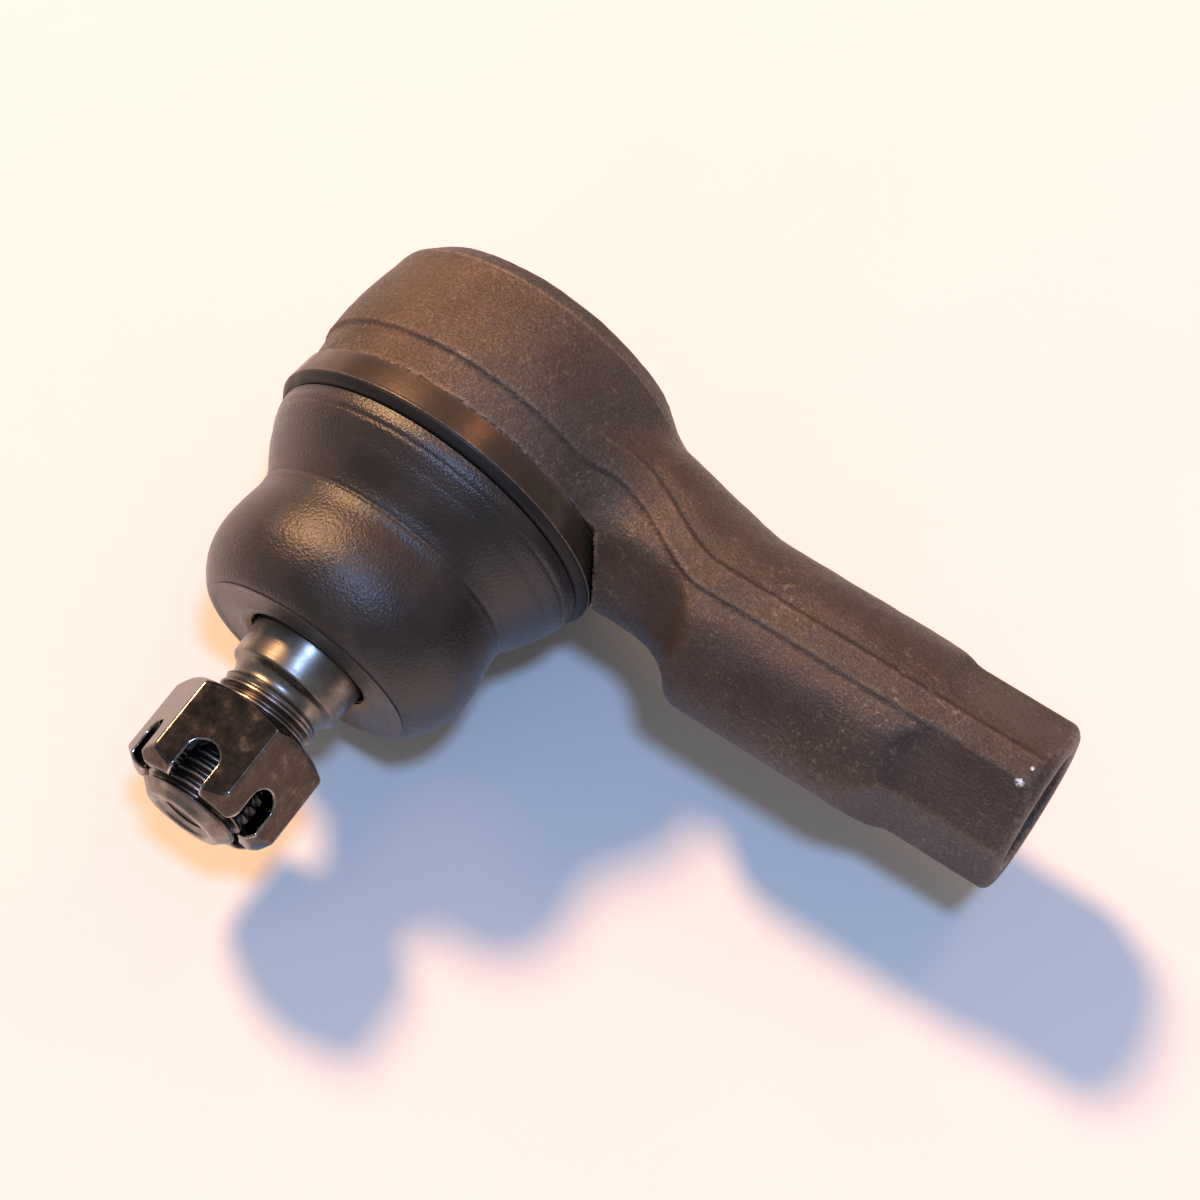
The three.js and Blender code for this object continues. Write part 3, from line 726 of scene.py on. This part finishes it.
def cavity_field(radius, y):
    """Room for the seats, spring and plug: negative inside it."""
    opening = radius - MOUTH_RADIUS - MOUTH_FLARE * np.maximum(0, MOUTH_FLARE_Y - y)
    cone = radius - SOCKET_RADIUS - SOCKET_SLOPE * (y - SOCKET_FACE_Y)
    socket = np.maximum(np.maximum(cone, radius - BORE_RADIUS), SOCKET_FACE_Y - y)
    bore = np.maximum(radius - PLUG_BORE_RADIUS, PLUG_SHOULDER_Y - y)
    inner = np.maximum(np.minimum(socket, bore), y - RIM_LIP_Y)
    rim = soft_max(radius - RIM_RADIUS, RIM_LIP_Y - 1 - y, 0.2)
    return np.minimum(np.minimum(opening, inner), rim)


def housing_field(x, y, z):
    """The whole forging: negative inside the metal."""
    radius = np.hypot(x, z)
    fillet = NECK_FILLET + HEAD_FILLET * np.exp(-((y - 3) / 6) ** 2)
    shank = soft_max(shank_field(x, y, z), -scoop_field(x, y, z), 1.1)
    body = soft_min(head_field(radius, y), shank, fillet)
    # The flash stands proud between two lines, but on the head only its lower line shows.
    offset = y - flash_height(x)
    upper_line = smoothstep(9, 22, x)
    above = smoothstep(FLASH_HALF - 0.12, FLASH_HALF + 0.12, offset)
    band = smoothstep(-FLASH_HALF - 0.14, -FLASH_HALF + 0.14, offset)
    fade = 1 - smoothstep(FLASH_HALF + 1, 11, offset) * (1 - upper_line)
    band = band * (1 - above * upper_line) * fade
    # It runs along the sides of the shank and right round the head.
    side = smoothstep(4.5, 7.5, np.abs(z) + np.where(x < 0, 20, 0) + np.maximum(0, 14 - x))
    body = body - FLASH_PROUD * band * side
    body = body + 0.028 * unevenness(x, y, z, 6, 11) + 0.016 * unevenness(x, y, z, 2.2, 12)
    ring_room = np.maximum(radius - RING_RADIUS - 0.4, y - SEAT_FACE_Y)
    body = soft_max(body, -ring_room, 0.08)
    body = soft_max(body, wrench_field(x, y, z), 0.3)
    body = soft_max(body, end_field(x, y, z), 0.15)
    boss = soft_max(radius - BOSS_RADIUS, BOSS_FACE_Y - y, 0.5)
    body = soft_min(body, np.maximum(boss, y - 4), 0.3)
    body = soft_max(body, -cavity_field(radius, y), 0.25)
    return soft_max(body, -bore_field(x, y, z), 0.3)


def build_housing(material):
    step = 0.36
    points, faces = surface_of(housing_field, HOUSING_LOW, HOUSING_HIGH, step)
    make_object("housing_forging", points, faces, material, "housing_body", "housing",
                math.radians(60))


# ---- Turned pieces --------------------------------------------------------------------------

def build_plug(material):
    outline = rounded([
        (0, 13.4, 0), (14, 13.4, 0.2), (14.3, PLUG_BACK_Y, 0.2), (PLUG_RADIUS, PLUG_BACK_Y, 0.3),
        (PLUG_RADIUS, PLUG_FACE_Y - 0.5, 0.3), (PLUG_RADIUS - 0.5, PLUG_FACE_Y, 0.4),
        (12, PLUG_FACE_Y, 0.7), (11.2, PLUG_FACE_Y - 0.5, 0.5), (9.3, PLUG_FACE_Y - 0.5, 0.5),
        (8.5, PLUG_FACE_Y, 0.7), (0, PLUG_FACE_Y, 0),
    ])
    points, faces = turned(outline, 160, closed=False)
    make_object("plug_disc", points, faces, material, "housing_body", "end_plug")


def build_press_ring(material):
    outline = rounded([
        (18.6, -7.0, 0.1), (20.2, -7.0, 0.12), (20.7, -6.85, 0.3), (21.15, -6.1, 0.2),
        (21.2, -5.92, 0.05), (RING_RADIUS - 0.15, -5.86, 0.08), (RING_RADIUS - 0.2, -5.6, 0.15),
        (21.0, RING_HIGH[1] + 0.2, 0.1), (19.9, RING_HIGH[1] + 0.2, 0.1), (19.9, -6.7, 0.1),
        (18.6, -6.7, 0.1),
    ], 6)
    points, faces = turned(outline, 224)
    make_object("press_ring", points, faces, material, "housing_body", "boot_press_ring")


def boot_outside():
    """The boot's outer profile from the ring down to its flat end."""
    keys = [(20.25, -7.15), (20.2, -8.3), (19.85, -9.4), (19.25, -10.6), (18.5, -12.0), (17.6, -13.4),
            (16.75, -14.7), (16.3, -16), (16.3, -17.6), (16.65, -19.8), (16.85, -22), (16.75, -24),
            (16.2, -26.1), (15.35, -27.8), (14.35, -29.1), (13.75, -29.65)]
    return curve_through(keys, 150)


def boot_inside():
    """The boot's inner profile, with room for the stud's shoulder when it leans."""
    keys = [(17.2, -8.3), (16.0, -12), (14.95, -16.2), (15.3, -21.3), (14.2, -25.6), (11.6, -28)]
    return curve_through(keys, 60)


def boot_lines(profile):
    """Mould lines and shallow creases round the boot, pressed into its outer profile."""
    marks = [(-9.0, 0.09, 0.2), (-10.9, 0.03, 0.3), (-15.9, 0.12, 0.22), (-16.5, -0.05, 0.35)]
    marked = []
    for radius, y in profile:
        press = sum(depth * math.exp(-((y - at) / width) ** 2) for at, depth, width in marks)
        marked.append((radius - press, y))
    return marked


def boot_wander(angle, radius, y):
    """The moulding isn't perfectly round, and its creases fade in and out."""
    free = smoothstep(-9, -14, y) * smoothstep(-29.8, -26, y)
    sway = (0.10 * np.sin(2 * angle + 0.7) + 0.06 * np.sin(3 * angle + y / 6)
            + 0.03 * np.sin(7 * angle - y / 2))
    return radius + sway * free, y


def split_at(profile, y):
    """Cuts an outline that runs down in y into its parts above and below y, sharing one point."""
    rows = np.array(profile)
    radius = np.interp(-y, -rows[:, 1], rows[:, 0])
    above = [tuple(p) for p in rows if p[1] > y + 0.02] + [(radius, y)]
    below = [(radius, y)] + [tuple(p) for p in rows if p[1] < y - 0.02]
    return above, below


def build_boot(material):
    outer_top, outer_end = split_at(boot_lines(boot_outside()), WAIST_Y)
    inner_top, inner_end = split_at(boot_inside(), WAIST_Y)
    bead = rounded([
        (17.0, -7.3, 0.2), (17.7, -6.8, 0.2), (17.7, -3.3, 0.3), (19.6, -3.3, 0.3), (19.6, -6.55, 0.2),
        (18.3, -6.55, 0.2), (18.3, -7.03, 0.1), (20.05, -7.03, 0.1),
    ])
    lip = rounded([
        (13.3, BOOT_END_Y, 0.25), (12.6, BOOT_END_Y, 0.3), (12.2, -29.9, 0.3), (9.3, -29.9, 0.3),
        (8.9, BOOT_END_Y, 0.2), (8.2, -29.95, 0.3), (7.6, -29.6, 0.15), (9.5, -29.6, 0.1), (9.5, -28, 0.1),
        (7.6, -28, 0.15), (7.6, -27.2, 0.2), (9, -27.2, 0.5),
    ])
    upper = bead + outer_top + inner_top[::-1]
    lower = outer_end + lip + inner_end[::-1]
    for name, outline, bodies, ends in (
        ("boot_upper", upper, ("housing_body", "boot_body"), (-8.6, WAIST_Y)),
        ("boot_lower", lower, ("boot_body", "lip_body"), (WAIST_Y, -27.0)),
    ):
        points, faces = turned(outline, 256, shift=boot_wander)
        piece = make_object(name, points, faces, material, None, "dust_boot",
                            math.radians(50))
        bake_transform(piece)


def build_lip_ring(material):
    outline = rounded([(7.7, -29.3, 0.15), (9.2, -29.3, 0.15), (9.2, -28.3, 0.15), (7.7, -28.3, 0.15)])
    points, faces = turned(outline, 96)
    make_object("lip_clip", points, faces, material, "lip_body", "boot_lip_ring")


# ---- Stud and nut ---------------------------------------------------------------------------

def thread_shift(angle, radius, y):
    """Cuts a helical thread into rows that lie between the thread's start and the stud's end."""
    wave = tooth(y / THREAD_PITCH + angle / TAU)
    depth = (THREAD_RADIUS - THREAD_ROOT) * smoothstep(0.12, 0.88, wave)
    runout = smoothstep(THREAD_START_Y + 0.4, THREAD_START_Y - 1.6, y)
    runout = runout * smoothstep(STUD_END_Y + 0.5, STUD_END_Y + 1.5, y)
    on_thread = radius > THREAD_RADIUS - 0.01
    return np.where(on_thread & (y < THREAD_START_Y + 0.4), radius - depth * runout, radius), y


def build_stud(material):
    taper_end = TAPER_RADIUS - (TAPER_START_Y - TAPER_END_Y) * TAPER_SLOPE
    end = STUD_END_Y
    tip = rounded([
        (CUP_RADIUS - 1.2, end + 0.75, 0.8), (CUP_RADIUS - 0.2, end + 0.35, 0.4), (CUP_RADIUS, end, 0.12),
        (STUD_END_RADIUS, end, 0.25), (THREAD_ROOT, end + 0.65, 0.15), (THREAD_RADIUS, end + 1.2, 0.1),
    ])
    rows = [(THREAD_RADIUS, y) for y in np.arange(end + 1.25, THREAD_START_Y - 0.02, 0.055)]
    upper = rounded([
        (THREAD_RADIUS, THREAD_START_Y, 0.1), (RELIEF_RADIUS, THREAD_START_Y + 0.45, 0.25),
        (RELIEF_RADIUS, THREAD_START_Y + 1.1, 0.45), (taper_end - 0.85, TAPER_END_Y - 0.6, 0.4),
        (taper_end, TAPER_END_Y, 0.25), (TAPER_RADIUS, TAPER_START_Y, 0.3),
        (TAPER_RADIUS - 0.5, TAPER_START_Y + 0.6, 0.4), (STUD_NECK_RADIUS + 0.4, -12.2, 1.5),
        (STUD_NECK_RADIUS, -11, 1.0),
    ])
    neck_angle = math.asin(-math.sqrt(BALL_RADIUS ** 2 - STUD_NECK_RADIUS ** 2) / BALL_RADIUS)
    back_angle = math.asin((BALL_BACK_Y - BALL_Y) / BALL_RADIUS)
    ball = [(BALL_RADIUS * math.cos(a), BALL_Y + BALL_RADIUS * math.sin(a))
            for a in np.linspace(neck_angle, back_angle, 60)]
    outline = [(0, end + CUP_DEPTH)] + tip + rows + upper + ball + [(0, BALL_BACK_Y)]
    points, faces = turned(outline, 128, closed=False, shift=thread_shift)
    piece = make_object("stud_shaft", points, faces, material, "stud_body", "ball_stud",
                        math.radians(28))
    drill_cotter_hole(piece)


def drill_cotter_hole(piece):
    """A hole across the threaded end, cut by a smooth rod."""
    reach = 9.0
    rod = [(0, -reach), (COTTER_RADIUS, -reach), (COTTER_RADIUS, reach), (0, reach)]
    points, faces = turned(rod, 40, closed=False)
    mesh = bpy.data.meshes.new("drill")
    mesh.from_pydata((points * MM).tolist(), [], [list(face) for face in faces])
    drill = bpy.data.objects.new("drill", mesh)
    bpy.context.scene.collection.objects.link(drill)
    heading = -NUT_TURN + math.radians(-30)
    drill.matrix_world = (Matrix.Translation((0, (COTTER_Y - PLUG_FACE_Y) * MM, 0))
                          @ Matrix.Rotation(heading, 4, "Y") @ Matrix.Rotation(math.pi / 2, 4, "Z"))
    cut = piece.modifiers.new("cotter_hole", "BOOLEAN")
    cut.object, cut.operation, cut.solver = drill, "DIFFERENCE", "EXACT"
    bpy.context.view_layer.update()
    cut_piece = piece.evaluated_get(bpy.context.evaluated_depsgraph_get())
    finished = bpy.data.meshes.new_from_object(cut_piece)
    piece.modifiers.clear()
    piece.data = finished
    bpy.data.objects.remove(drill)


def nut_field(x, y, z):
    """The castle nut: negative inside the metal."""
    angle = -NUT_TURN
    turned_x = x * math.cos(angle) - z * math.sin(angle)
    turned_z = x * math.sin(angle) + z * math.cos(angle)
    radius = np.hypot(x, z)
    body, slots = None, np.inf
    bottom_y = NUT_END_Y + SLOT_DEPTH - SLOT_WIDTH / 2
    for i in range(3):
        around = math.radians(30 + 60 * i)
        forward = turned_x * math.cos(around) + turned_z * math.sin(around)
        sideways = -turned_x * math.sin(around) + turned_z * math.cos(around)
        flat = np.abs(forward) - NUT_ACROSS_FLATS / 2
        body = soft_max(body, flat, 0.12) if i else flat
        slot = np.hypot(sideways, np.maximum(y - bottom_y, 0)) - SLOT_WIDTH / 2
        slots = np.minimum(slots, slot)
    corner = NUT_ACROSS_FLATS / 2 / math.cos(math.pi / 6)
    free_chamfer = radius - FREE_CHAMFER_RADIUS - (y - NUT_END_Y) * FREE_CHAMFER_RISE
    free_chamfer = free_chamfer / math.hypot(1, FREE_CHAMFER_RISE)
    seat_chamfer = radius - SEAT_CHAMFER_RADIUS - (NUT_SEAT_Y - y) * SEAT_CHAMFER_RISE
    seat_chamfer = seat_chamfer / math.hypot(1, SEAT_CHAMFER_RISE)
    body = soft_max(body, free_chamfer, 0.3)
    body = soft_max(body, seat_chamfer, 0.3)
    body = soft_max(body, radius - corner, 0.1)
    body = soft_max(body, NUT_END_Y - y, 0.25)
    body = soft_max(body, y - NUT_SEAT_Y, 0.25)
    wave = tooth(y / THREAD_PITCH + np.arctan2(z, x) / TAU)
    bore = radius - NUT_BORE_RADIUS - NUT_THREAD_DEPTH * wave
    countersink = radius - NUT_BORE_RADIUS - 2 * NUT_THREAD_DEPTH + (NUT_SEAT_Y - y)
    bore = np.minimum(bore, countersink)
    body = soft_max(body, -bore, 0.1)
    return soft_max(body, -slots, 0.2)


def build_nut(material):
    step = 0.16
    points, faces = surface_of(nut_field, NUT_LOW, NUT_HIGH, step)
    make_object("slotted_nut", points, faces, material, "nut_body", "castle_nut",
                math.radians(50))


# ---- Stage ----------------------------------------------------------------------------------

def build_floor():
    half = 3.0
    z = cad_low.z - 0.1 * MM
    mesh = bpy.data.meshes.new("floor")
    corners = [(-half, -half, z), (half, -half, z), (half, half, z), (-half, half, z)]
    mesh.from_pydata(corners, [], [[0, 1, 2, 3]])
    f = Finish("floor_paint")
    f.set(Specular_IOR_Level=0.2)
    cloud = f.noise(40, detail=4)
    colour = f.ramp(cloud, [(0.3, (0.86, 0.84, 0.81)), (0.7, (0.88, 0.86, 0.83))])
    mesh.materials.append(f.finish(colour, f.map(cloud, 0.3, 0.7, 0.7, 0.8), f.bump(cloud, 0.05, 0.1)))
    floor = bpy.data.objects.new("floor", mesh)
    bpy.context.scene.collection.objects.link(floor)


def add_light(name, direction, distance, size, power, colour):
    """A round lamp that looks at the part's middle from a direction."""
    light = bpy.data.lights.new(name, "AREA")
    light.shape, light.size = "DISK", size
    light.energy, light.color = power, colour
    lamp = bpy.data.objects.new(name, light)
    bpy.context.scene.collection.objects.link(lamp)
    aim = np.array(direction, float) / np.linalg.norm(direction)
    centre = np.array((cad_low + cad_high) / 2)
    lamp.location = centre + aim * distance
    lamp.rotation_euler = (-Vector(aim)).to_track_quat("-Z", "Y").to_euler()


def build_camera():
    """A long lens above and in front of the stud, which also looks into the shank's bore."""
    data = bpy.data.cameras.new("camera")
    data.lens, data.sensor_width = 78, 36
    data.clip_start, data.clip_end = 0.01, 10
    camera = bpy.data.objects.new("camera", data)
    bpy.context.scene.collection.objects.link(camera)
    right = (0.8239, 0.5665, -0.0139)
    up = (-0.5094, 0.7513, 0.4196)
    back = (0.2482, -0.3386, 0.9076)
    place = (0.09435, -0.11847, 0.26237)
    rows = [[right[i], up[i], back[i], place[i]] for i in range(3)]
    camera.matrix_world = Matrix(rows + [[0, 0, 0, 1]])
    bpy.context.scene.camera = camera


def build_stage():
    build_floor()
    add_light("key", (-0.58, 0.28, 0.765), 2.2, 0.41, 62.5, (1.0, 0.555, 0.27))
    add_light("sky", (0.22, -0.05, 0.97), 0.9, 0.12, 4.1, (0.34, 0.54, 1.0))
    add_light("warm", (0.15, 0.60, 0.75), 0.9, 0.22, 0.8, (1.0, 0.42, 0.14))
    world = bpy.data.worlds.new("world")
    bpy.context.scene.world = world
    world.use_nodes = True
    background = world.node_tree.nodes["Background"]
    background.inputs["Color"].default_value = (0.92, 0.94, 1.0, 1)
    background.inputs["Strength"].default_value = 0.29
    bpy.context.scene.view_settings.view_transform = "Standard"


# ---- Everything -----------------------------------------------------------------------------

build_camera()
build_stage()
build_housing(forged_steel())
pressed_steel = plug_steel()
build_plug(pressed_steel)
build_press_ring(ring_finish())
build_boot(boot_rubber())
build_stud(machined_steel())
build_nut(nut_finish())
spring_steel = spring_finish()
build_lip_ring(spring_steel)
seat_plastic = seat_finish()
hidden = {
    "plug_seal_ring": seal_finish(), "preload_spring": spring_steel, "pressure_plate": pressed_steel,
    "rear_ball_seat": seat_plastic, "front_ball_seat": seat_plastic,
}
for node, material in hidden.items():
    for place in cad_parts[node].material_slots:
        place.material = material
